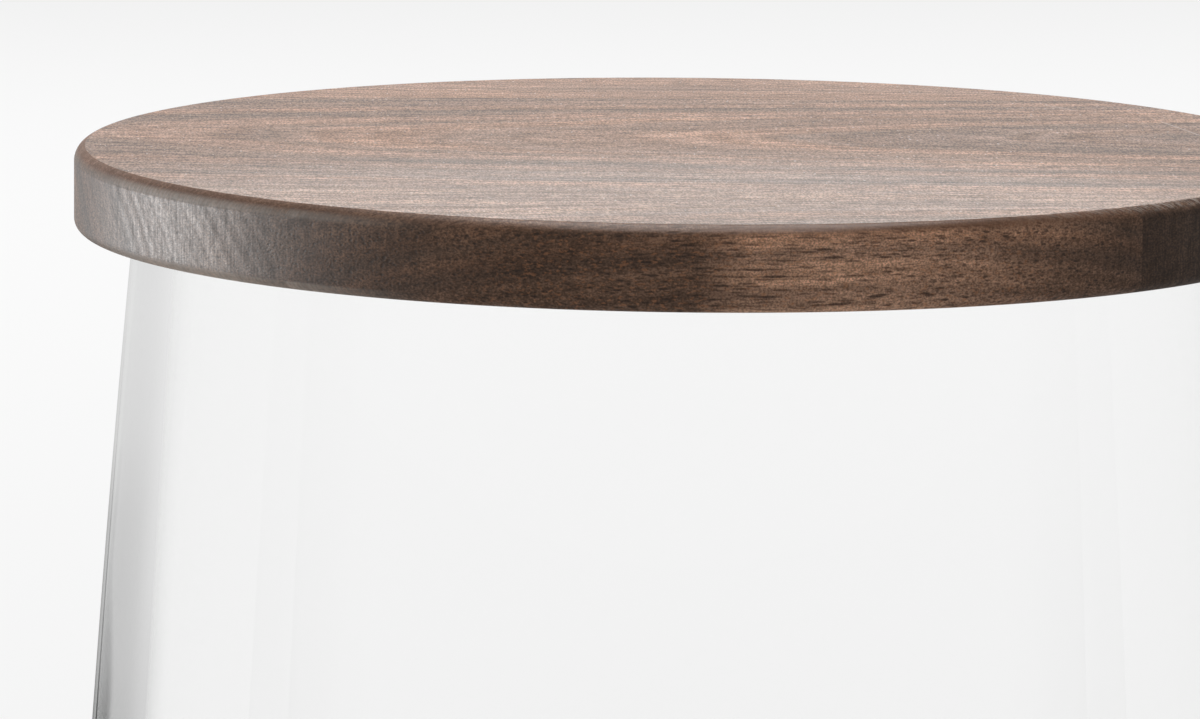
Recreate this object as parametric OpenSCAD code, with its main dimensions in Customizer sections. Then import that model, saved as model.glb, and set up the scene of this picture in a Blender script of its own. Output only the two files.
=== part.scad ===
// Lidded glass bowl: a flared vessel of thick clear glass under a round walnut lid.
// The lid is glued up from three boards, and a groove under it takes the glass rim.
// Millimetres, +Z up. The origin is the centre of the foot, on the surface it stands on.

/* [Overall] */
// Diameter of the glass at its widest, just above the heel
bowl_d = 183; // [140:1:260]
// Height of the glass, from the foot to the rim
bowl_h = 160; // [90:1:240]

/* [Glass bowl] */
// How far the rim is drawn in from the widest part, on each side
rim_inset = 10.3; // [5:0.1:30]
// Radius of the long bow of the outer side, where larger is straighter
side_bow_r = 3100; // [600:50:8000]
// Thickness of the wall at the rim
rim_wall = 5.6; // [4:0.1:8]
// Thickness of the wall above the heel
heel_wall = 8.5; // [4:0.1:12]
// Radius of the round on each edge of the rim
rim_round = 1.2; // [0.4:0.1:1.8]
// Radius of the heel, outside
heel_round = 14; // [6:0.5:24]
// Radius of the corner between the wall and the floor, inside
floor_round = 18; // [8:0.5:30]
// Thickness of the base at its centre
base_t = 8; // [5:0.5:16]
// Rise of the pushed-up underside at its centre
push_up = 2.5; // [1:0.1:6]
// Width of the flat ring that the bowl stands on
foot_w = 9; // [4:0.5:20]

/* [Lid] */
// How far the lid reaches past the glass rim, all round
lid_overhang = 8.8; // [4:0.1:20]
// Thickness of the lid
lid_t = 12; // [9:0.1:22]
// Radius of the round along the lid's top edge
lid_top_round = 2.4; // [0.6:0.1:4]
// Angle at which that round meets the flat top, in degrees
lid_edge_turn = 20; // [0:1:40]
// Radius of the round along the lid's lower edge
lid_low_round = 1.5; // [0.4:0.1:3]

/* [Lid boards] */
// Turn of the glue joints from the X axis, in degrees
joint_turn = 2.5; // [-20:0.1:20]
// Width of the front board at its middle, from the lid's edge to the glue joint
front_board_w = 22; // [8:0.2:45]
// Width of the back board at its middle, from the lid's edge to the glue joint
back_board_w = 30.6; // [8:0.2:60]

/* [Groove and seal] */
// Depth of the groove in the lid's underside
groove_depth = 5; // [3:0.1:7]
// Room between the glass rim and each wall of the groove
rim_clear = 0.8; // [0.4:0.1:1.5]
// Width of the eased edges at the groove's mouth
groove_ease = 0.5; // [0.2:0.1:1]
// Thickness of the seal ring
seal_t = 1.6; // [1:0.1:2.4]
// Room between the seal ring and each wall of the groove
seal_clear = 0.2; // [0.1:0.05:0.5]
// Radius of the round along the seal's lower edges
seal_round = 0.5; // [0.2:0.1:0.8]

/* [Hidden] */
$fn = 180;
round_steps = 8;
corner_steps = 16;
side_steps = 24;

heel_r = bowl_d / 2;
rim_r = heel_r - rim_inset;
lid_r = rim_r + lid_overhang;
floor_z = push_up + base_t;
// The lid rests with the seal on the rim, so the rim stands this far inside the groove.
rim_reach = groove_depth - seal_t;
lid_z = bowl_h - rim_reach;
// Places of the glue joints across the boards.
front_joint = front_board_w - lid_r;
back_joint = lid_r - back_board_w;

// Centres of the rounds in the glass outline, as [radius, height].
rim_out_c = [rim_r - rim_round, bowl_h - rim_round];
rim_in_c = [rim_r - rim_wall + rim_round, bowl_h - rim_round];
heel_c = [heel_r - heel_round, heel_round];
floor_c = [heel_r - heel_wall - floor_round, floor_z + floor_round];
foot_in_r = heel_c.x - foot_w;
push_up_r = (pow(foot_in_r, 2) + pow(push_up, 2)) / (2 * push_up);
push_up_turn = asin(foot_in_r / push_up_r);

// Points on an arc about c, from angle a to angle b.
function arc(c, r, a, b, steps) =
    [for (i = [0 : steps]) let (t = a + (b - a) * i / steps) c + r * [cos(t), sin(t)]];
function heading(v) = atan2(v.y, v.x);

// Centre of the bow: it touches both rounds of the outer side from outside them.
bow_to_rim = side_bow_r - rim_round;
bow_to_heel = side_bow_r - heel_round;
rounds_apart = norm(rim_out_c - heel_c);
along = (pow(bow_to_heel, 2) - pow(bow_to_rim, 2) + pow(rounds_apart, 2)) / (2 * rounds_apart);
side_dir = (rim_out_c - heel_c) / rounds_apart;
bow_c = heel_c + along * side_dir - sqrt(pow(bow_to_heel, 2) - pow(along, 2)) * [side_dir.y, -side_dir.x];
bow_top = heading(rim_out_c - bow_c);
bow_low = heading(heel_c - bow_c);

// Heading square to the straight inner side, which touches the rim's round and the floor's corner.
inner_run = rim_in_c - floor_c;
inner_turn = heading(inner_run) - acos((rim_round + floor_round) / norm(inner_run));

// The groove clears the glass from where the flared side enters the lid up to the rim.
groove_out_r = bow_c.x + sqrt(pow(side_bow_r, 2) - pow(lid_z - bow_c.y, 2)) + rim_clear;
groove_in_r = rim_r - rim_wall - rim_clear;

module glass_outline() {
    outer_side = concat(
        arc(rim_out_c, rim_round, 90, bow_top, round_steps),
        arc(bow_c, side_bow_r, bow_top, bow_low, side_steps),
        arc(heel_c, heel_round, bow_low, -90, corner_steps));
    underside = arc([0, push_up - push_up_r], push_up_r, 90 - push_up_turn, 90, corner_steps);
    inner_side = concat(
        [[0, floor_z]],
        arc(floor_c, floor_round, -90, inner_turn, corner_steps),
        arc(rim_in_c, rim_round, inner_turn + 180, 90, round_steps));
    polygon(concat(outer_side, underside, inner_side));
}

module lid_outline() {
    top_c = [lid_r - lid_top_round, lid_t - lid_top_round * cos(lid_edge_turn)];
    top_edge = arc(top_c, lid_top_round, 90 - lid_edge_turn, 0, round_steps);
    low_edge = arc([lid_r - lid_low_round, lid_low_round], lid_low_round, 0, -90, round_steps);
    groove = [
        [groove_out_r + groove_ease, 0],
        [groove_out_r, groove_ease],
        [groove_out_r, groove_depth],
        [groove_in_r, groove_depth],
        [groove_in_r, groove_ease],
        [groove_in_r - groove_ease, 0]];
    polygon(concat([[0, lid_t]], top_edge, low_edge, groove, [[0, 0]]));
}

module seal_outline() {
    out_r = groove_out_r - seal_clear;
    in_r = groove_in_r + seal_clear;
    out_edge = arc([out_r - seal_round, seal_round], seal_round, 0, -90, round_steps);
    in_edge = arc([in_r + seal_round, seal_round], seal_round, -90, -180, round_steps);
    polygon(concat([[out_r, seal_t]], out_edge, in_edge, [[in_r, seal_t]]));
}

// The part of the turned lid that lies between low and high, measured across the boards.
module lid_board(low, high) {
    translate([0, 0, lid_z])
        intersection() {
            rotate_extrude() lid_outline();
            rotate(joint_turn) translate([-2 * lid_r, low, -lid_t]) cube([4 * lid_r, high - low, 3 * lid_t]);
        }
}

module glass_bowl() {
    color([0.9, 0.94, 0.94, 0.35]) rotate_extrude() glass_outline();
}

module seal_ring() {
    color([0.88, 0.89, 0.88, 0.7]) translate([0, 0, bowl_h]) rotate_extrude() seal_outline();
}

module lid_front_board() {
    color([0.27, 0.18, 0.13]) lid_board(-2 * lid_r, front_joint);
}

module lid_middle_board() {
    color([0.36, 0.25, 0.19]) lid_board(front_joint, back_joint);
}

module lid_back_board() {
    color([0.33, 0.22, 0.16]) lid_board(back_joint, 2 * lid_r);
}

glass_bowl();
seal_ring();
lid_front_board();
lid_middle_board();
lid_back_board();
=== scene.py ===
import math

import bmesh
import bpy
from mathutils import Matrix, Vector


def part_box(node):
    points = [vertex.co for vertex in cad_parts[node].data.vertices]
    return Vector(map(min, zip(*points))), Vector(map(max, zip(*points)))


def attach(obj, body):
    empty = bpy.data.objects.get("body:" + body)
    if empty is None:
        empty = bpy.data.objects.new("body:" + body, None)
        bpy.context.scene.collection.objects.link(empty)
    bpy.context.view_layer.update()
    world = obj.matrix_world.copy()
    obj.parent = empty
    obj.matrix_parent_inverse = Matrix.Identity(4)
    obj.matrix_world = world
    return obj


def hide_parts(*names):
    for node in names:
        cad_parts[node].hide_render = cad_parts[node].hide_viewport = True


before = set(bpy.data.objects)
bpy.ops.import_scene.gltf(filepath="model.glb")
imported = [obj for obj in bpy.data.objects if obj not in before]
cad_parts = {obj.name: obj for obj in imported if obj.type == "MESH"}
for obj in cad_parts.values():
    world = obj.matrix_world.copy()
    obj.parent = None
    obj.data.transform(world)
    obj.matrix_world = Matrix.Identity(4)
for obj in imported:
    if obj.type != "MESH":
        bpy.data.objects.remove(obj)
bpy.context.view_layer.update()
print("frame loaded:", ", ".join(sorted(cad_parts)))

scene = bpy.context.scene
scene.view_settings.view_transform = "Standard"
mm = 0.001
mergeDistance = 0.001 * mm
cutDistance = 0.0001 * mm

# heights and radii that every piece shares, read from the frame
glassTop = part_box("glass_bowl")[1].z
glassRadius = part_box("glass_bowl")[1].x
lidUnder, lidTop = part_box("lid_middle_board")[0].z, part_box("lid_middle_board")[1].z

# light that has been turned more often than this goes straight through the glass, and past the grey cards
mostTurns = 3.5


# small helpers for node trees

def node(tree, kind, values=None, **settings):
    made = tree.nodes.new("ShaderNode" + kind)
    for key, value in settings.items():
        setattr(made, key, value)
    for key, value in (values or {}).items():
        if isinstance(value, bpy.types.NodeSocket):
            tree.links.new(value, made.inputs[key])
        else:
            made.inputs[key].default_value = value
    return made


def calc(tree, operation, a, b=0.0, c=0.0, clamp=False):
    return node(tree, "Math", {0: a, 1: b, 2: c}, operation=operation, use_clamp=clamp).outputs[0]


def multiply(tree, *values):
    product = values[0]
    for value in values[1:]:
        product = calc(tree, "MULTIPLY", product, value)
    return product


def remap(tree, value, low, high, toLow=0.0, toHigh=1.0, smooth=True):
    settings = {"interpolation_type": "SMOOTHSTEP" if smooth else "LINEAR", "clamp": True}
    made = node(tree, "MapRange", {0: value, 1: low, 2: high, 3: toLow, 4: toHigh}, **settings)
    return made.outputs[0]


def stretch(tree, vector, scale):
    return node(tree, "VectorMath", {0: vector, 1: scale}, operation="MULTIPLY").outputs[0]


def measure(tree, operation, a, b=(0, 0, 0)):
    return node(tree, "VectorMath", {0: a, 1: b}, operation=operation).outputs["Value"]


def noise(tree, vector, detail=2.0, roughness=0.5, scale=1.0):
    values = {"Vector": vector, "Scale": scale, "Detail": detail, "Roughness": roughness}
    return node(tree, "TexNoise", values).outputs["Fac"]


def mixColor(tree, factor, a, b, mode="MIX"):
    made = node(tree, "Mix", {0: factor, 6: a, 7: b}, data_type="RGBA", blend_type=mode)
    return made.outputs[2]


# the tone for a value, from stops that each have a place and a tone
def toneRamp(tree, value, stops):
    low, high = stops[0][0], stops[-1][0]
    made = node(tree, "ValToRGB", {0: remap(tree, value, low, high, smooth=False)})
    points = made.color_ramp.elements
    points[0].position, points[0].color = 0.0, (*stops[0][1], 1)
    points[1].position, points[1].color = 1.0, (*stops[-1][1], 1)
    for place, tone in stops[1:-1]:
        points.new((place - low) / (high - low)).color = (*tone, 1)
    return made.outputs[0]


def newMaterial(name):
    material = bpy.data.materials.new(name)
    material.use_nodes = True
    tree = material.node_tree
    tree.nodes.clear()
    output = node(tree, "OutputMaterial")
    return material, tree, output


# camera: the picture's viewing angle, a long lens from a little above the lid

view = {
    "lens": 242.36,
    "sensor": 36.0,
    "clip": (0.05, 60),
    "distance": 1.17624,       # from the centre of the lid's top
    "elevation": 6.8819,       # degrees above the lid's top
    "pan": 0.6476,
    "tilt": -1.5236,
    "roll": -0.5898,
}


def makeCamera():
    data = bpy.data.cameras.new("camera")
    data.lens = view["lens"]
    data.sensor_width = view["sensor"]
    data.clip_start, data.clip_end = view["clip"]
    camera = bpy.data.objects.new("camera", data)
    scene.collection.objects.link(camera)
    rise = math.radians(view["elevation"])
    target = Vector((0, 0, lidTop))
    away = Vector((0, -math.cos(rise), math.sin(rise))) * view["distance"]
    aim = (-away).to_track_quat("-Z", "Y").to_matrix()
    aim = aim @ Matrix.Rotation(math.radians(view["pan"]), 3, "Y")
    aim = aim @ Matrix.Rotation(math.radians(view["tilt"]), 3, "X")
    aim = aim @ Matrix.Rotation(math.radians(-view["roll"]), 3, "Z")
    camera.matrix_world = Matrix.Translation(target + away) @ aim.to_4x4()
    scene.camera = camera


makeCamera()
print("camera placed")


# stage: a pale floor and soft lamps

stage = {
    "floorSize": 30.0,
    "floorColor": (0.86, 0.86, 0.86, 1),
    "backgroundColor": (0.923, 0.923, 0.923, 1),
    "backgroundShare": 0.89,   # the rest of the floor stays lit, and holds the shadow
    "ambient": 0.40,
}
lamps = {
    "backSoftbox": {"place": (-0.2, 1.45, 1.05), "size": (2.2, 1.0), "power": 30.0, "lidSheen": False},
    "leftSoftbox": {"place": (-1.227, 0.329, 0.085), "size": (0.55, 0.14), "power": 42.0, "lidSheen": True},
    "topSoftbox": {"place": (0.0, -0.05, 1.27), "size": (0.75, 1.3), "power": 30.0, "lidSheen": True},
    "lowSoftbox": {"place": (0.0, 2.2, 0.62), "size": (2.4, 0.4), "power": 7.9, "lidSheen": True},
}
lidOnly = bpy.data.collections.new("lidOnly")


def showsBackground(tree):
    path = node(tree, "LightPath").outputs
    seen = calc(tree, "MAXIMUM", path["Is Camera Ray"], path["Is Glossy Ray"])
    return calc(tree, "MAXIMUM", seen, path["Is Transmission Ray"])


def stagePiece(bm, name, material):
    mesh = bpy.data.meshes.new(name)
    bm.to_mesh(mesh)
    bm.free()
    mesh.materials.append(material)
    piece = bpy.data.objects.new(name, mesh)
    scene.collection.objects.link(piece)
    return piece


def makeFloor():
    material, tree, output = newMaterial("paleFloor")
    lit = node(tree, "BsdfDiffuse", {"Color": stage["floorColor"]})
    plain = node(tree, "Emission", {"Color": stage["backgroundColor"]})
    share = calc(tree, "MULTIPLY", showsBackground(tree), stage["backgroundShare"])
    mixed = node(tree, "MixShader", {0: share, 1: lit.outputs[0], 2: plain.outputs[0]})
    tree.links.new(mixed.outputs[0], output.inputs["Surface"])
    bm = bmesh.new()
    bmesh.ops.create_grid(bm, x_segments=1, y_segments=1, size=stage["floorSize"] / 2)
    stagePiece(bm, "floor", material)


def makeWorld():
    world = bpy.data.worlds.new("studio")
    world.use_nodes = True
    tree = world.node_tree
    tree.nodes.clear()
    ambient = node(tree, "Background", {"Strength": stage["ambient"]})
    plain = node(tree, "Background", {"Color": stage["backgroundColor"]})
    mixed = node(tree, "MixShader", {
        0: showsBackground(tree), 1: ambient.outputs[0], 2: plain.outputs[0]})
    node(tree, "OutputWorld", {"Surface": mixed.outputs[0]})
    scene.world = world


def makeLamps():
    for name, lamp in lamps.items():
        data = bpy.data.lights.new(name, "AREA")
        data.shape = "RECTANGLE"
        data.size, data.size_y = lamp["size"]
        data.energy = lamp["power"]
        light = bpy.data.objects.new(name, data)
        place = Vector(lamp["place"])
        light.location = place
        light.rotation_euler = (Vector((0, 0, lidTop)) - place).to_track_quat("-Z", "Y").to_euler()
        light.visible_camera = False
        light.visible_transmission = False
        # the softboxes for the lid's sheen are mirrored in its boards alone, and the other lights the stage
        if lamp["lidSheen"]:
            light.visible_diffuse = False
            light.light_linking.receiver_collection = lidOnly
        else:
            light.visible_glossy = False
        scene.collection.objects.link(light)


makeFloor()
makeWorld()
makeLamps()
print("stage built")


# turned outlines: a tip vertex is drawn along lines and arcs in the XZ plane, then spun about Z

def lineTo(bm, tip, radius, height):
    end = bmesh.ops.extrude_vert_indiv(bm, verts=[tip])["verts"][0]
    end.co = (radius, 0, height)
    return end


def arcTo(bm, tip, centre, degrees, steps):
    made = bmesh.ops.spin(
        bm, geom=[tip], cent=(centre[0], 0, centre[1]), axis=(0, 1, 0),
        angle=math.radians(degrees), steps=steps)
    return [part for part in made["geom_last"] if isinstance(part, bmesh.types.BMVert)][0]


def lineInSteps(bm, tip, radius, height, steps):
    start = tip.co.copy()
    for step in range(1, steps + 1):
        share = step / steps
        tip = lineTo(bm, tip, start.x + (radius - start.x) * share, start.z + (height - start.z) * share)
    return tip


def spinOutline(bm, steps):
    bmesh.ops.spin(
        bm, geom=bm.verts[:] + bm.edges[:], cent=(0, 0, 0), axis=(0, 0, 1),
        angle=math.tau, steps=steps, use_merge=True)
    bmesh.ops.remove_doubles(bm, verts=bm.verts[:], dist=mergeDistance)
    bmesh.ops.recalc_face_normals(bm, faces=bm.faces[:])


def finishPiece(bm, name, material, body, cadNode, sharpAngle=30):
    mesh = bpy.data.meshes.new(name)
    bm.to_mesh(mesh)
    bm.free()
    for face in mesh.polygons:
        face.use_smooth = True
    mesh.set_sharp_from_angle(angle=math.radians(sharpAngle))
    mesh.materials.append(material)
    piece = bpy.data.objects.new(name, mesh)
    scene.collection.objects.link(piece)
    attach(piece, body)
    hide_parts(cadNode)
    print(name, len(mesh.vertices), "vertices")
    return piece


# glass bowl: one thick blown wall, drawn as a closed outline and turned

bowl = {
    "rimInset": 10.3 * mm,
    "sideBowRadius": 3.1,
    "rimWall": 5.6 * mm,
    "heelWall": 8.5 * mm,
    "rimRound": 1.2 * mm,
    "heelRound": 14 * mm,
    "floorRound": 18 * mm,
    "baseThickness": 8 * mm,
    "pushUp": 2.5 * mm,
    "footWidth": 9 * mm,
    "rimSteps": 10,
    "cornerSteps": 24,
    "innerSteps": 20,
    "sideSteps": 40,
    "steps": 360,
    "color": (0.995, 0.995, 0.995, 1),
    "ior": 1.48,
    "waves": (14, 14, 22),         # per metre
    "waveStrength": 0.02,
    "waveHeight": 0.002,
    "smudges": (60, 60, 25),       # per metre
    "smudgeSpan": (0.45, 0.75),
    "roughness": (0.0, 0.012),     # where it is clean, and smudged
    "straightColor": (0.88, 0.885, 0.88, 1),
}
rimRadius = glassRadius - bowl["rimInset"]


def heading(vector):
    return math.degrees(math.atan2(vector.y, vector.x))


# centre of the long bow of the outer side, which touches the rim's round and the heel
def bowCentre(rimOut, heel):
    toRim = bowl["sideBowRadius"] - bowl["rimRound"]
    toHeel = bowl["sideBowRadius"] - bowl["heelRound"]
    apart = (rimOut - heel).length
    side = (rimOut - heel) / apart
    along = (toHeel ** 2 - toRim ** 2 + apart ** 2) / (2 * apart)
    return heel + along * side - math.sqrt(toHeel ** 2 - along ** 2) * Vector((side.y, -side.x))


rimOut = Vector((rimRadius - bowl["rimRound"], glassTop - bowl["rimRound"]))
heel = Vector((glassRadius - bowl["heelRound"], bowl["heelRound"]))
bow = bowCentre(rimOut, heel)


def makeGlass():
    material, tree, output = newMaterial("clearGlass")
    place = node(tree, "TexCoord").outputs["Object"]
    waves = noise(tree, stretch(tree, place, bowl["waves"]), detail=1)
    bump = node(tree, "Bump", {
        "Strength": bowl["waveStrength"], "Distance": bowl["waveHeight"], "Height": waves})
    smudge = noise(tree, stretch(tree, place, bowl["smudges"]), detail=3)
    glass = node(tree, "BsdfPrincipled", {
        "Base Color": bowl["color"],
        "Roughness": remap(tree, smudge, *bowl["smudgeSpan"], *bowl["roughness"]),
        "IOR": bowl["ior"],
        "Transmission Weight": 1.0,
        "Normal": bump.outputs[0],
    })
    clear = node(tree, "BsdfTransparent", {"Color": bowl["straightColor"]})
    path = node(tree, "LightPath").outputs
    # light that has been turned often goes straight on, so that none is lost inside the wall
    often = calc(tree, "GREATER_THAN", path["Ray Depth"], mostTurns)
    straight = calc(tree, "MAXIMUM", path["Is Shadow Ray"], often)
    mixed = node(tree, "MixShader", {0: straight, 1: glass.outputs[0], 2: clear.outputs[0]})
    tree.links.new(mixed.outputs[0], output.inputs["Surface"])
    return material


def makeBowl():
    floorHeight = bowl["pushUp"] + bowl["baseThickness"]
    rimIn = Vector((rimRadius - bowl["rimWall"] + bowl["rimRound"], glassTop - bowl["rimRound"]))
    corner = Vector((glassRadius - bowl["heelWall"] - bowl["floorRound"], floorHeight + bowl["floorRound"]))
    footInner = heel.x - bowl["footWidth"]
    bowTop, bowLow = heading(rimOut - bow), heading(heel - bow)
    # the straight inner side touches the rim's inner round and the floor's corner
    run = rimIn - corner
    inner = heading(run) - math.degrees(math.acos((bowl["rimRound"] + bowl["floorRound"]) / run.length))
    innerFace = Vector((math.cos(math.radians(inner)), math.sin(math.radians(inner))))
    innerTop = rimIn - bowl["rimRound"] * innerFace
    pushRadius = (footInner ** 2 + bowl["pushUp"] ** 2) / (2 * bowl["pushUp"])
    pushTurn = math.degrees(math.asin(footInner / pushRadius))

    bm = bmesh.new()
    tip = bm.verts.new((0, 0, floorHeight))
    tip = lineTo(bm, tip, corner.x / 2, floorHeight)
    tip = lineTo(bm, tip, corner.x, floorHeight)
    tip = arcTo(bm, tip, corner, -(inner + 90), bowl["cornerSteps"])
    tip = lineInSteps(bm, tip, innerTop.x, innerTop.y, bowl["innerSteps"])
    tip = arcTo(bm, tip, rimIn, 90 + inner, bowl["rimSteps"])
    tip = lineTo(bm, tip, rimOut.x, glassTop)
    tip = arcTo(bm, tip, rimOut, 90 - bowTop, bowl["rimSteps"])
    tip = arcTo(bm, tip, bow, bowTop - bowLow, bowl["sideSteps"])
    tip = arcTo(bm, tip, heel, bowLow + 90, bowl["cornerSteps"])
    tip = lineTo(bm, tip, footInner, 0)
    arcTo(bm, tip, (0, bowl["pushUp"] - pushRadius), -pushTurn, bowl["cornerSteps"])
    spinOutline(bm, bowl["steps"])
    finishPiece(bm, "glassBowl", makeGlass(), "bowl", "glass_bowl")


makeBowl()


# grey cards round the bowl, which only light mirrored in the glass meets: they glow with a painted
# reflection of grey and dark strips, which draws the edges of its wall

edgeCards = {
    "count": 8,                # evenly round the bowl, so that its edges show from all sides
    "otherShare": 0.6,         # how much the cards show that aren't to the left or right
    "gap": 0.1 * mm,           # from the glass
    "reach": 40 * mm,
    "softEdge": (0.3 * mm, 16 * mm),  # beside the glass, and at the outer edge
    "lineWidths": (4.4 * mm, 1.2 * mm),  # of the dark strip beside the glass, low and high
    "lineHeights": (84 * mm, 108 * mm),
    "lineEdge": (0.7, 1.2),    # where the strip fades, in widths
    "mirrorReach": 44 * mm,    # larger draws the strips further out for light mirrored in the outer face
    # the painted greys of the strips that the glass's edges show
    "greys": [                 # height in mm, then the grey of the dark strip, next to it, and far out
        (83, (0.09, 0.38, 0.72)), (91, (0.22, 0.43, 0.76)), (101, (0.29, 0.44, 0.86)),
        (113, (0.36, 0.48, 0.90)), (125, (0.56, 0.59, 0.90)), (135, (0.61, 0.64, 0.90)),
        (144, (0.66, 0.67, 0.92)),
    ],
}
cardLow, cardHigh = glassRadius + edgeCards["gap"], rimRadius + edgeCards["gap"]


def makeCardGrey():
    material, tree, output = newMaterial("greyCard")
    place = node(tree, "TexCoord").outputs["Object"]
    depth, height = node(tree, "SeparateXYZ", {0: place}).outputs[1:3]
    atSide = calc(tree, "LESS_THAN", calc(tree, "ABSOLUTE", depth), 1 * mm)
    radius = measure(tree, "LENGTH", stretch(tree, place, (1, 1, 0)))
    inner = remap(tree, height, 0, glassTop, cardLow, cardHigh, smooth=False)
    away = calc(tree, "SUBTRACT", radius, inner)
    reach = edgeCards["reach"]
    near, far = edgeCards["softEdge"]
    # light that was never mirrored on its way passes the cards, which keeps stray lines in the glass faint
    path = node(tree, "LightPath").outputs
    mirrors = calc(tree, "SUBTRACT", path["Ray Depth"], path["Transmission Depth"])
    shown = multiply(
        tree,
        remap(tree, away, 0, near),
        remap(tree, away, reach - far, reach, 1, 0),
        remap(tree, atSide, 0, 1, edgeCards["otherShare"], 1, smooth=False),
        calc(tree, "GREATER_THAN", mirrors, 0.5),
        calc(tree, "LESS_THAN", path["Ray Depth"], mostTurns))
    # light mirrored in the outer face arrives further out, where the strips are drawn again for it
    mirrored = calc(tree, "LESS_THAN", path["Transmission Depth"], 0.5)
    mirroredAway = multiply(tree, away, away, 1 / edgeCards["mirrorReach"])
    away = remap(tree, mirrored, 0, 1, away, mirroredAway, smooth=False)
    lineWidth = remap(tree, height, *edgeCards["lineHeights"], *edgeCards["lineWidths"])
    stops = [(level * mm, tones) for level, tones in edgeCards["greys"]]
    strip, nextTo, farOut = node(tree, "SeparateColor", {0: toneRamp(tree, height, stops)}).outputs
    beside = remap(tree, away, 0, reach, nextTo, farOut, smooth=False)
    tone = remap(tree, calc(tree, "DIVIDE", away, lineWidth), *edgeCards["lineEdge"], strip, beside)
    clear = node(tree, "BsdfTransparent")
    # the cards glow with the painted grey, though they are no lamp
    glow = node(tree, "Emission", {"Color": tone})
    mixed = node(tree, "MixShader", {0: shown, 1: clear.outputs[0], 2: glow.outputs[0]})
    tree.links.new(mixed.outputs[0], output.inputs["Surface"])
    return material


def makeEdgeCards():
    material = makeCardGrey()
    share = lidUnder / glassTop
    for turn in range(edgeCards["count"]):
        bm = bmesh.new()
        foot = bm.verts.new((cardLow, 0, 0))
        lineTo(bm, foot, cardLow + (cardHigh - cardLow) * share, lidUnder)
        wide = bmesh.ops.extrude_edge_only(bm, edges=bm.edges[:])["geom"]
        outer = [part for part in wide if isinstance(part, bmesh.types.BMVert)]
        bmesh.ops.translate(bm, vec=(edgeCards["reach"], 0, 0), verts=outer)
        around = Matrix.Rotation(math.tau * turn / edgeCards["count"], 3, "Z")
        bmesh.ops.rotate(bm, matrix=around, verts=bm.verts[:])
        card = stagePiece(bm, "edgeCard" + str(turn + 1), material)
        card.visible_camera = False
        card.visible_diffuse = False
        card.visible_shadow = False


makeEdgeCards()
print("cards placed")


# lid: a turned walnut disc with a groove for the rim, cut into its three boards

lid = {
    "overhang": 8.8 * mm,      # past the glass rim, all round
    "topRound": 2.4 * mm,
    "edgeTurn": 20,            # degrees at which that round meets the flat top
    "lowRound": 1.5 * mm,
    "grooveDepth": 5.0 * mm,
    "grooveEase": 0.5 * mm,
    "rimClear": 0.8 * mm,
    "jointTurn": 2.5,          # degrees from X
    "frontBoardWidth": 22.0 * mm,
    "backBoardWidth": 30.6 * mm,
    "edgeSupport": 0.5 * mm,   # width of the narrow faces beside the rounds
    "topSteps": 12,
    "lowSteps": 10,
    "sharpAngle": 15,
    "steps": 360,
}
lidRadius = rimRadius + lid["overhang"]
grooveIn = rimRadius - bowl["rimWall"] - lid["rimClear"]
glassAtLid = bow.x + math.sqrt(bowl["sideBowRadius"] ** 2 - (lidUnder - bow.y) ** 2)
grooveOut = glassAtLid + lid["rimClear"]
frontJoint = lid["frontBoardWidth"] - lidRadius
backJoint = lidRadius - lid["backBoardWidth"]
jointTurn = math.radians(lid["jointTurn"])
acrossBoards = Vector((-math.sin(jointTurn), math.cos(jointTurn), 0))

pinkTan = (0.45, 0.245, 0.150)
tan = (0.40, 0.220, 0.138)
greyTan = (0.33, 0.192, 0.126)
grey = (0.265, 0.160, 0.108)
heartGrey = (0.20, 0.122, 0.085)
paleTan = (0.45, 0.265, 0.172)
midTan = (0.36, 0.207, 0.133)
rust = (0.52, 0.23, 0.11)
rustBrown = (0.24, 0.105, 0.05)
poreBrown = (0.035, 0.022, 0.017)
# the pale of worn fibres, flecks and scratches, and also of the painted sheen on the left end
wearAndSheenWhite = (0.8, 0.7, 0.62)
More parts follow.
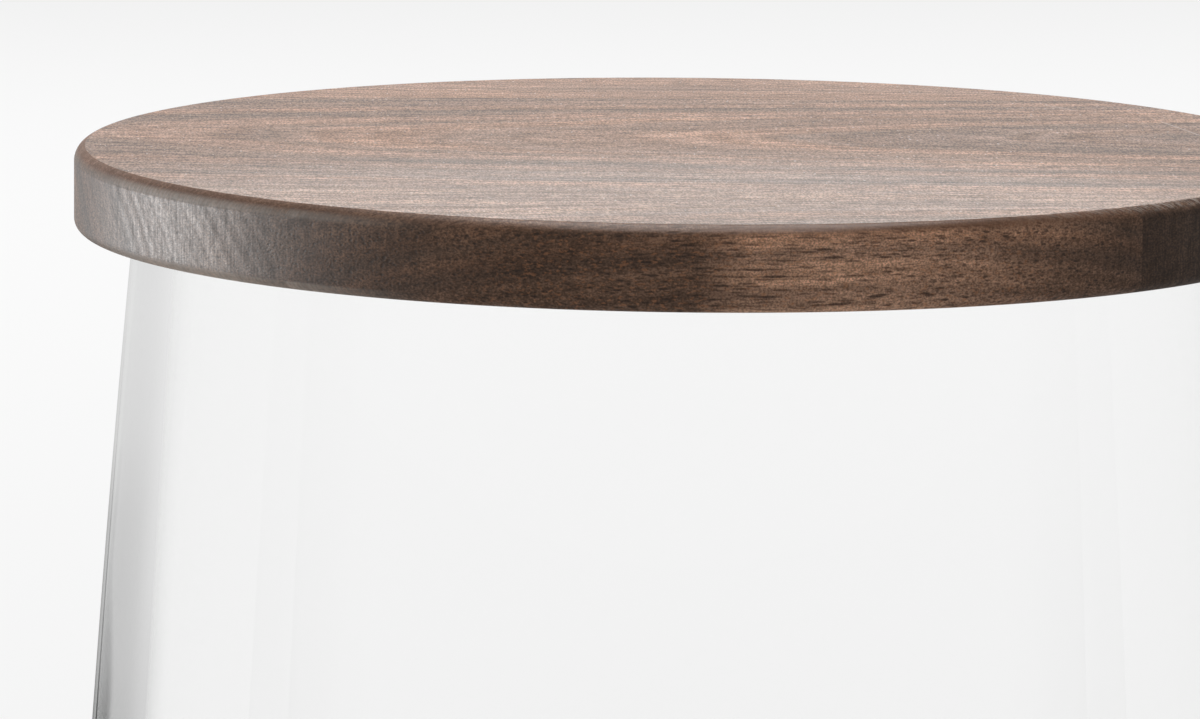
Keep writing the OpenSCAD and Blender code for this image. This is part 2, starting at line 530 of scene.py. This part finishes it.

# tones lie at millimetres from the pith, and side shades at millimetres along the board; the low side
# shades at the right ends are painted shade
boards = {
    "lidMiddleBoard": {
        "node": "lid_middle_board",
        "low": frontJoint,
        "high": backJoint,
        "grainTurn": 2.7,
        "pith": (9.9, 40.0),       # mm across from the lid's centre, and below the lid's top
        "pithRise": (0.135, -55.0),  # how fast the pith rises along the board, and where it starts
        "wander": 1.3,
        "tones": [
            (18, grey), (23, heartGrey), (24.8, greyTan), (27.2, grey), (28.2, heartGrey), (30.4, grey),
            (31.3, pinkTan), (32.7, pinkTan), (33.8, greyTan), (37.6, greyTan), (38.6, pinkTan),
            (40.0, pinkTan), (41.0, grey), (42.2, tan), (44.0, tan), (45.6, grey), (48.0, heartGrey),
            (50.0, tan), (52.0, tan), (54.5, grey), (57.0, greyTan), (59.5, heartGrey), (61.5, grey),
            (63.5, pinkTan), (66.5, tan), (70.0, greyTan), (75.0, paleTan), (80.0, greyTan),
            (86.0, paleTan),
        ],
        "sideToneAndPaintedShade": [(-90, 0.8), (-60, 0.7), (-40, 0.6), (40, 0.4), (62, 0.25), (90, 0.25)],
        "scratches": [((53.5, 56.0), (58.0, 49.0)), ((70.0, 36.0), (75.5, 16.5))],
    },
    "lidFrontBoard": {
        "node": "lid_front_board",
        "low": None,
        "high": frontJoint,
        "grainTurn": 8.0,
        "pith": (-102.2, 70.0),
        "pithRise": (0.03, 0.0),
        "wander": 1.0,
        "tones": [
            (58, grey), (61, heartGrey), (64, greyTan), (67, heartGrey), (69, tan), (71, grey),
            (73, pinkTan), (75, greyTan), (77, paleTan), (79, greyTan), (82, paleTan), (86, tan),
        ],
        "sideToneAndPaintedShade": [
            (-80, 0.8), (-60, 0.6), (-35, 0.5), (-12, 0.62), (-4, 1.85), (9, 1.73), (18, 1.65),
            (33, 1.1), (50, 0.5),
        ],
    },
    "lidBackBoard": {
        "node": "lid_back_board",
        "low": backJoint,
        "high": None,
        "grainTurn": 2.0,
        "pith": (150.9, 60.0),
        "pithRise": (0.05, 0.0),
        "wander": 1.5,
        "tones": [
            (80, tan), (88, greyTan), (92, pinkTan), (97, tan), (100, greyTan), (104, pinkTan),
            (108, tan), (112, pinkTan), (116, grey), (122, tan),
        ],
        "sideToneAndPaintedShade": [(-90, 0.9), (0, 0.8), (90, 0.8)],
    },
}

# sizes in millimetres along the grain, across it and up, then the noise's detail and roughness
patterns = {
    "clouds": ((26, 7, 7), 3, 0.5),
    "streaks": ((42, 0.9, 0.9), 3, 0.6),
    "fibres": ((5, 0.24, 0.24), 2, 0.5),
    "specks": ((0.3, 1.1, 0.24), 1, 0.5),
    "hairs": ((8, 0.22, 5), 2, 0.5),
    "flecks": ((0.8, 0.32, 0.32), 2, 0.5),
    "fuzz": ((8, 0.25, 0.7), 2, 0.5),
    # streaks of the painted sheen on the left end
    "paintedSheen": ((8, 0.3, 1.5), 2, 0.5),
    "marks": ((0.5, 1.8, 0.4), 2, 0.5),
}

# ranges hold the stretch of a value that is used and, where they aren't 0 and 1, what its ends become
walnut = {
    "drifts": [((85, 38, 38), 5.0), ((30, 9, 9), 1.2)],  # how the rings stray, as sizes and amounts in mm
    "midShare": 0.2,               # how far all tones are drawn towards midTan
    "yearScale": 0.9,              # year lines per millimetre
    "light": {
        "clouds": (0.3, 0.7, 0.8, 1.18),
        "yearLines": (0.35, 0.65, 1.08, 0.8),
        "streaks": (0.3, 0.7, 0.8, 1.13),
        "fibres": (0.3, 0.7, 0.8, 1.16),
        "specks": (0.3, 0.7, 0.6, 1.4),
    },
    "topFrom": (0.3, 0.85),        # uprightness of the face at which a side becomes the top
    "roundFrom": (0.02, 0.2),      # and at which the round along the top begins and ends
    "roundTo": (0.95, 0.999, 1, 0),
    "leastLevel": 0.3,             # keeps what is read from nearly flat faces in bounds
    "endFrom": (0.25, 0.85),       # how far a side faces along the grain where fibres end
    "endLight": 0.6,               # fibre ends drink in the oil
    "hairSpan": (0.3, 0.7, -0.3, 0.3),
    "fleckSpan": (0.54, 0.68),
    "fleckShare": (0.4, 0.1),      # on the sides, and on the top
    "fleckEnd": (0, 0.5, 1, 0),
    "finePores": (4.6, 0.5, 0.2, 0.42),  # length and width of a cell in mm, then where its pore fades
    "longPores": (11, 0.9, 0.12, 0.26),
    "finePoreShare": 0.7,
    "poreShare": 0.8,
    "relief": {"pores": -1.0, "fibres": 0.6},
    "reliefHeight": 0.0001,
    "reliefOnRound": (0, 1, 0.5, 0.12),
    "reliefOnEnds": (0, 1, 1, 0.25),
    "specular": 0.12,
    "ior": 1.5,
}
worn = {
    "redFrom": (0.25, 0.7),
    "redShare": 0.6,
    "fuzzSpan": (0.48, 0.62),
    "fuzzFrom": (0.5, 0.9),
    "fuzzEnd": (0.3, 0.8),         # on the right end alone
    "fuzzShare": 0.7,
    # the painted sheen on the left end: its streaks, where it lies along the grain, and how far up and down
    # the rounds
    "paintedSheenSpan": (0.3, 0.7, 0.32, 0.48),
    "paintedSheenEnd": (-0.5, -0.8),       # on the left end alone
    "paintedSheenTip": (-0.98, -0.88, 0.3, 1.0),
    "paintedSheenFrom": (0.03, 0.3),
    "paintedSheenTo": (0.45, 0.75, 1, 0),
    "paintedSheenUnder": (-0.999, -0.95),
    "markSpan": (0.655, 0.72),
    "markShare": 0.85,
    "scratchWidth": (0.05, 0.3, 1.0, 0.0),  # mm
    "scratchShare": 0.45,
    "flatTop": (0.95, 0.99),
    "topShare": 0.6,
}
polish = {
    "centre": (0, -0.065, lidTop),  # of the place that hands have polished
    "squeeze": (0.6, 1, 1),
    "near": (0.03, 0.075, -0.06, 0.055),
    "far": (0.11, 0.15, 0, -0.025),
    "side": 0.055,
    "specks": (0, 1, -0.18, -0.08),  # on long faces, and on fibre ends
    "streaks": (0.3, 0.7, 0.485, 0.443),
    "years": (0.35, 0.65, -0.5, 0.5),
    "yearShare": 0.07,
    "hairShare": -0.12,
    "smoothEnd": (0, 0.6, 1, 0),
    "onRound": (0, 1, 1, 0.65),
    "onEnds": (0, 1, 1, 1.06),
    "onRoundEnds": (0, 1, 1, 1.2),
}


def facing(tree, direction):
    return measure(tree, "DOT_PRODUCT", node(tree, "NewGeometry").outputs["Normal"], direction)


# millimetres along the grain, across it from the pith, and up from the pith
def grainPlace(tree, board):
    across, depth = board["pith"]
    return node(tree, "Mapping", {
        "Vector": node(tree, "TexCoord").outputs["Object"],
        "Location": (0, -across, depth - lidTop / mm),
        "Rotation": (0, 0, -math.radians(board["grainTurn"])),
        "Scale": (1 / mm, 1 / mm, 1 / mm),
    }).outputs[0]


def grainNoise(tree, grain, size, detail=2.0, roughness=0.5):
    return noise(tree, stretch(tree, grain, [1 / side for side in size]), detail, roughness)


# distance from the pith, which wanders and rises along the board
def ringRadius(tree, grain, board):
    slope, start = board["pithRise"]
    along, across, up = node(tree, "SeparateXYZ", {0: grain}).outputs
    up = calc(tree, "SUBTRACT", up, calc(tree, "MULTIPLY_ADD", along, slope, -slope * start))
    radius = calc(tree, "SQRT", calc(tree, "MULTIPLY_ADD", up, up, calc(tree, "POWER", across, 2.0)))
    for size, amount in walnut["drifts"]:
        drift = calc(tree, "SUBTRACT", grainNoise(tree, grain, size), 0.5)
        radius = calc(tree, "MULTIPLY_ADD", drift, board["wander"] * amount, radius)
    return radius


# a fine pale scratch on the lid's top, from one place to another in millimetres
def scratchMark(tree, start, end):
    start, end = Vector((*start, 0)), Vector((*end, 0))
    run = end - start
    place = stretch(tree, node(tree, "TexCoord").outputs["Object"], (1 / mm, 1 / mm, 0))
    fromStart = node(tree, "VectorMath", {0: place, 1: start}, operation="SUBTRACT").outputs[0]
    share = measure(tree, "DOT_PRODUCT", fromStart, run / run.length_squared)
    share = calc(tree, "ADD", share, 0.0, clamp=True)
    nearest = node(tree, "VectorMath", {0: run, "Scale": share}, operation="SCALE").outputs[0]
    return remap(tree, measure(tree, "DISTANCE", fromStart, nearest), *worn["scratchWidth"])


# open pores: dark dashes along the fibres, dots where the fibres end
def poreDashes(tree, grain, length, width, core, edge):
    cells = node(tree, "TexVoronoi", {
        "Vector": stretch(tree, grain, (1 / length, 1 / width, 1 / width)), "Scale": 1.0})
    return remap(tree, cells.outputs["Distance"], core, edge, 1.0, 0.0)


# the wood's patterns, and how a place lies: on the top, on a side, on fibre ends or on a round
def readWood(tree, board):
    grain = grainPlace(tree, board)
    radius = ringRadius(tree, grain, board)
    wood = {name: grainNoise(tree, grain, *pattern) for name, pattern in patterns.items()}
    wood["radius"] = radius
    yearPlace = node(tree, "CombineXYZ", {0: radius}).outputs[0]
    wood["yearLines"] = noise(tree, yearPlace, detail=3, scale=walnut["yearScale"])
    finePores = poreDashes(tree, grain, *walnut["finePores"])
    longPores = poreDashes(tree, grain, *walnut["longPores"])
    wood["pores"] = calc(tree, "MAXIMUM", multiply(tree, finePores, walnut["finePoreShare"]), longPores)

    turn = math.radians(board["grainTurn"])
    upright = facing(tree, (0, 0, 1))
    level = calc(tree, "SQRT", calc(tree, "SUBTRACT", 1.0, multiply(tree, upright, upright), clamp=True))
    ends = facing(tree, (math.cos(turn), math.sin(turn), 0))
    ends = calc(tree, "DIVIDE", ends, calc(tree, "MAXIMUM", level, walnut["leastLevel"]))
    wood["upright"] = upright
    wood["ends"] = ends
    wood["top"] = remap(tree, upright, *walnut["topFrom"])
    wood["endGrain"] = remap(tree, calc(tree, "ABSOLUTE", ends), *walnut["endFrom"])
    roundFrom = remap(tree, upright, *walnut["roundFrom"])
    wood["roundTo"] = remap(tree, upright, *walnut["roundTo"])
    wood["rounded"] = multiply(tree, roundFrom, wood["roundTo"])
    wood["hairs"] = multiply(tree, remap(tree, wood["hairs"], *walnut["hairSpan"]), wood["endGrain"])
    # side tone along the board: heartwood, and painted shade towards the right ends
    along = node(tree, "SeparateXYZ", {0: grain}).outputs[0]
    shades = [(place, (amount, amount, amount)) for place, amount in board["sideToneAndPaintedShade"]]
    wood["sideToneAndPaintedShade"] = toneRamp(tree, along, shades)
    return wood


def woodColor(tree, board, wood):
    top, endGrain = wood["top"], wood["endGrain"]
    color = toneRamp(tree, wood["radius"], board["tones"])
    color = mixColor(tree, walnut["midShare"], color, (*midTan, 1))

    # the sides are darker or lighter heartwood along the board, and darker towards the right ends, a
    # painted shade where little light reaches
    shade = mixColor(tree, top, wood["sideToneAndPaintedShade"], (1, 1, 1, 1))
    color = mixColor(tree, 1.0, color, shade, "MULTIPLY")
    light = multiply(
        tree,
        *[remap(tree, wood[name], *span) for name, span in walnut["light"].items()],
        remap(tree, endGrain, 0, 1, 1.0, walnut["endLight"]),
        calc(tree, "ADD", wood["hairs"], 1.0))
    color = node(tree, "VectorMath", {0: color, "Scale": light}, operation="SCALE").outputs[0]

    # rusty flecks on the long sides, then the pores
    fleckShare = multiply(
        tree,
        remap(tree, wood["flecks"], *walnut["fleckSpan"]),
        remap(tree, top, 0, 1, *walnut["fleckShare"]),
        remap(tree, endGrain, *walnut["fleckEnd"]))
    color = mixColor(tree, fleckShare, color, (*rust, 1))
    return mixColor(tree, multiply(tree, wood["pores"], walnut["poreShare"]), color, (*poreBrown, 1))


# worn edges: the round is sanded to redder wood, and pale fibre ends stand up along it; on the left end
# both rounds are paled by a painted sheen
def wornColor(tree, wood, color):
    upright, ends = wood["upright"], wood["ends"]
    # the redness is dimmed with the side tone, so the painted shade at the right end darkens it too
    redness = multiply(
        tree,
        wood["rounded"],
        remap(tree, upright, *worn["redFrom"]),
        calc(tree, "MINIMUM", wood["sideToneAndPaintedShade"], 1.0),
        worn["redShare"])
    color = mixColor(tree, redness, color, (*rustBrown, 1))
    fuzz = multiply(
        tree,
        remap(tree, wood["fuzz"], *worn["fuzzSpan"]),
        remap(tree, upright, *worn["fuzzFrom"]),
        wood["roundTo"],
        remap(tree, ends, *worn["fuzzEnd"]),
        worn["fuzzShare"])
    color = mixColor(tree, fuzz, color, (*wearAndSheenWhite, 1))
    # painted sheen and bounce light: the fibre ends at the left are paled in streaks, over both rounds and
    # short of the crisp edge
    paintedSheen = multiply(
        tree,
        remap(tree, wood["paintedSheen"], *worn["paintedSheenSpan"]),
        remap(tree, ends, *worn["paintedSheenEnd"]),
        remap(tree, ends, *worn["paintedSheenTip"]),
        remap(tree, calc(tree, "ABSOLUTE", upright), *worn["paintedSheenFrom"]),
        remap(tree, upright, *worn["paintedSheenTo"]),
        remap(tree, upright, *worn["paintedSheenUnder"]))
    return mixColor(tree, paintedSheen, color, (*wearAndSheenWhite, 1))


# marks on the flat top: small pale flecks, and scratches
def markedColor(tree, board, wood, color):
    marks = multiply(tree, remap(tree, wood["marks"], *worn["markSpan"]), worn["markShare"])
    for start, end in board.get("scratches", []):
        scratch = multiply(tree, scratchMark(tree, start, end), worn["scratchShare"])
        marks = calc(tree, "MAXIMUM", marks, scratch)
    flatTop = remap(tree, wood["upright"], *worn["flatTop"])
    return mixColor(tree, multiply(tree, marks, flatTop, worn["topShare"]), color, (*wearAndSheenWhite, 1))


# sanded smooth over the rounded edges, and polished by hands towards the front
def woodRoughness(tree, wood):
    endGrain, rounded = wood["endGrain"], wood["rounded"]
    place = stretch(tree, node(tree, "TexCoord").outputs["Object"], polish["squeeze"])
    fromFront = measure(tree, "DISTANCE", place, polish["centre"])
    near, far = remap(tree, fromFront, *polish["near"]), remap(tree, fromFront, *polish["far"])
    onTop = calc(tree, "ADD", near, far)
    rough = remap(tree, wood["top"], 0, 1, polish["side"], onTop, smooth=False)
    speckShare = remap(tree, endGrain, *polish["specks"])
    rough = calc(tree, "MULTIPLY_ADD", calc(tree, "SUBTRACT", wood["specks"], 0.5), speckShare, rough)
    rough = calc(tree, "ADD", rough, remap(tree, wood["streaks"], *polish["streaks"]))
    years = remap(tree, wood["yearLines"], *polish["years"])
    rough = calc(tree, "MULTIPLY_ADD", years, polish["yearShare"], rough)
    rough = calc(tree, "MULTIPLY_ADD", wood["hairs"], polish["hairShare"], rough)
    smoothed = multiply(tree, rounded, remap(tree, endGrain, *polish["smoothEnd"]))
    return multiply(
        tree,
        rough,
        remap(tree, smoothed, *polish["onRound"]),
        remap(tree, endGrain, *polish["onEnds"]),
        remap(tree, multiply(tree, rounded, endGrain), *polish["onRoundEnds"]))


def woodBump(tree, wood):
    shares = walnut["relief"]
    relief = calc(tree, "MULTIPLY_ADD", wood["fibres"], shares["fibres"], wood["specks"])
    relief = calc(tree, "MULTIPLY_ADD", wood["pores"], shares["pores"], relief)
    strength = multiply(
        tree,
        remap(tree, wood["rounded"], *walnut["reliefOnRound"]),
        remap(tree, wood["endGrain"], *walnut["reliefOnEnds"]))
    values = {"Strength": strength, "Distance": walnut["reliefHeight"], "Height": relief}
    return node(tree, "Bump", values).outputs[0]


def makeWalnut(name, board):
    material, tree, output = newMaterial(name)
    wood = readWood(tree, board)
    color = woodColor(tree, board, wood)
    color = wornColor(tree, wood, color)
    color = markedColor(tree, board, wood, color)
    shader = node(tree, "BsdfPrincipled", {
        "Base Color": color,
        "Roughness": woodRoughness(tree, wood),
        "IOR": walnut["ior"],
        "Specular IOR Level": walnut["specular"],
        "Normal": woodBump(tree, wood),
    })
    tree.links.new(shader.outputs[0], output.inputs["Surface"])
    return material


def makeLidOutline(bm):
    support = lid["edgeSupport"]
    topRound, lowRound = lid["topRound"], lid["lowRound"]
    edgeTurn = math.radians(lid["edgeTurn"])
    crisp = lidRadius - topRound * (1 - math.sin(edgeTurn))
    roundCentre = (lidRadius - topRound, lidTop - topRound * math.cos(edgeTurn))
    ease, depth = lid["grooveEase"], lid["grooveDepth"]
    tip = bm.verts.new((0, 0, lidTop))
    tip = lineTo(bm, tip, crisp - support, lidTop)
    tip = lineTo(bm, tip, crisp, lidTop)
    tip = arcTo(bm, tip, roundCentre, 90 - lid["edgeTurn"], lid["topSteps"])
    tip = lineTo(bm, tip, lidRadius, roundCentre[1] - support)
    tip = lineTo(bm, tip, lidRadius, lidUnder + lowRound + support)
    tip = lineTo(bm, tip, lidRadius, lidUnder + lowRound)
    tip = arcTo(bm, tip, (lidRadius - lowRound, lidUnder + lowRound), 90, lid["lowSteps"])
    tip = lineTo(bm, tip, grooveOut + ease, lidUnder)
    tip = lineTo(bm, tip, grooveOut, lidUnder + ease)
    tip = lineTo(bm, tip, grooveOut, lidUnder + depth)
    tip = lineTo(bm, tip, grooveIn, lidUnder + depth)
    tip = lineTo(bm, tip, grooveIn, lidUnder + ease)
    tip = lineTo(bm, tip, grooveIn - ease, lidUnder)
    lineTo(bm, tip, 0, lidUnder)


def cutAcross(bm, offset, side):
    made = bmesh.ops.bisect_plane(
        bm, geom=bm.verts[:] + bm.edges[:] + bm.faces[:], dist=cutDistance,
        plane_co=acrossBoards * offset, plane_no=acrossBoards * side, clear_outer=True)
    edges = [part for part in made["geom_cut"] if isinstance(part, bmesh.types.BMEdge)]
    bmesh.ops.holes_fill(bm, edges=edges, sides=0)


def makeLid():
    for name, board in boards.items():
        bm = bmesh.new()
        makeLidOutline(bm)
        spinOutline(bm, lid["steps"])
        if board["low"] is not None:
            cutAcross(bm, board["low"], -1)
        if board["high"] is not None:
            cutAcross(bm, board["high"], 1)
        material = makeWalnut(name + "Walnut", board)
        piece = finishPiece(bm, name, material, "lid", board["node"], lid["sharpAngle"])
        lidOnly.objects.link(piece)


makeLid()


# seal ring: soft cloudy silicone on the floor of the groove

seal = {
    "clear": 0.2 * mm,
    "round": 0.5 * mm,
    "roundSteps": 8,
    "steps": 240,
    "skin": (900, 900, 900),       # per metre
    "clouds": (40, 40, 40),        # per metre
    "colors": ((0.74, 0.75, 0.74, 1), (0.84, 0.85, 0.84, 1)),
    "roughness": (0.3, 0.7, 0.32, 0.48),  # the stretch of the skin's noise, and what its ends become
    "skinStrength": 0.15,
    "skinHeight": 0.0001,
    "ior": 1.41,
    "transmission": 0.45,
}


def makeSilicone():
    material, tree, output = newMaterial("sealSilicone")
    place = node(tree, "TexCoord").outputs["Object"]
    skin = noise(tree, stretch(tree, place, seal["skin"]), detail=3)
    cloud = noise(tree, stretch(tree, place, seal["clouds"]), detail=2)
    bump = node(tree, "Bump", {
        "Strength": seal["skinStrength"], "Distance": seal["skinHeight"], "Height": skin})
    shader = node(tree, "BsdfPrincipled", {
        "Base Color": mixColor(tree, cloud, *seal["colors"]),
        "Roughness": remap(tree, skin, *seal["roughness"]),
        "IOR": seal["ior"],
        "Transmission Weight": seal["transmission"],
        "Normal": bump.outputs[0],
    })
    tree.links.new(shader.outputs[0], output.inputs["Surface"])
    return material


def makeSeal():
    low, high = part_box("seal_ring")[0].z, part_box("seal_ring")[1].z
    inner, outer = grooveIn + seal["clear"], grooveOut - seal["clear"]
    radius = seal["round"]
    bm = bmesh.new()
    first = tip = bm.verts.new((inner, 0, high))
    tip = lineTo(bm, tip, outer, high)
    tip = lineTo(bm, tip, outer, low + radius)
    tip = arcTo(bm, tip, (outer - radius, low + radius), 90, seal["roundSteps"])
    tip = lineTo(bm, tip, inner + radius, low)
    tip = arcTo(bm, tip, (inner + radius, low + radius), 90, seal["roundSteps"])
    bm.edges.new((tip, first))
    spinOutline(bm, seal["steps"])
    finishPiece(bm, "sealRing", makeSilicone(), "lid", "seal_ring")


makeSeal()
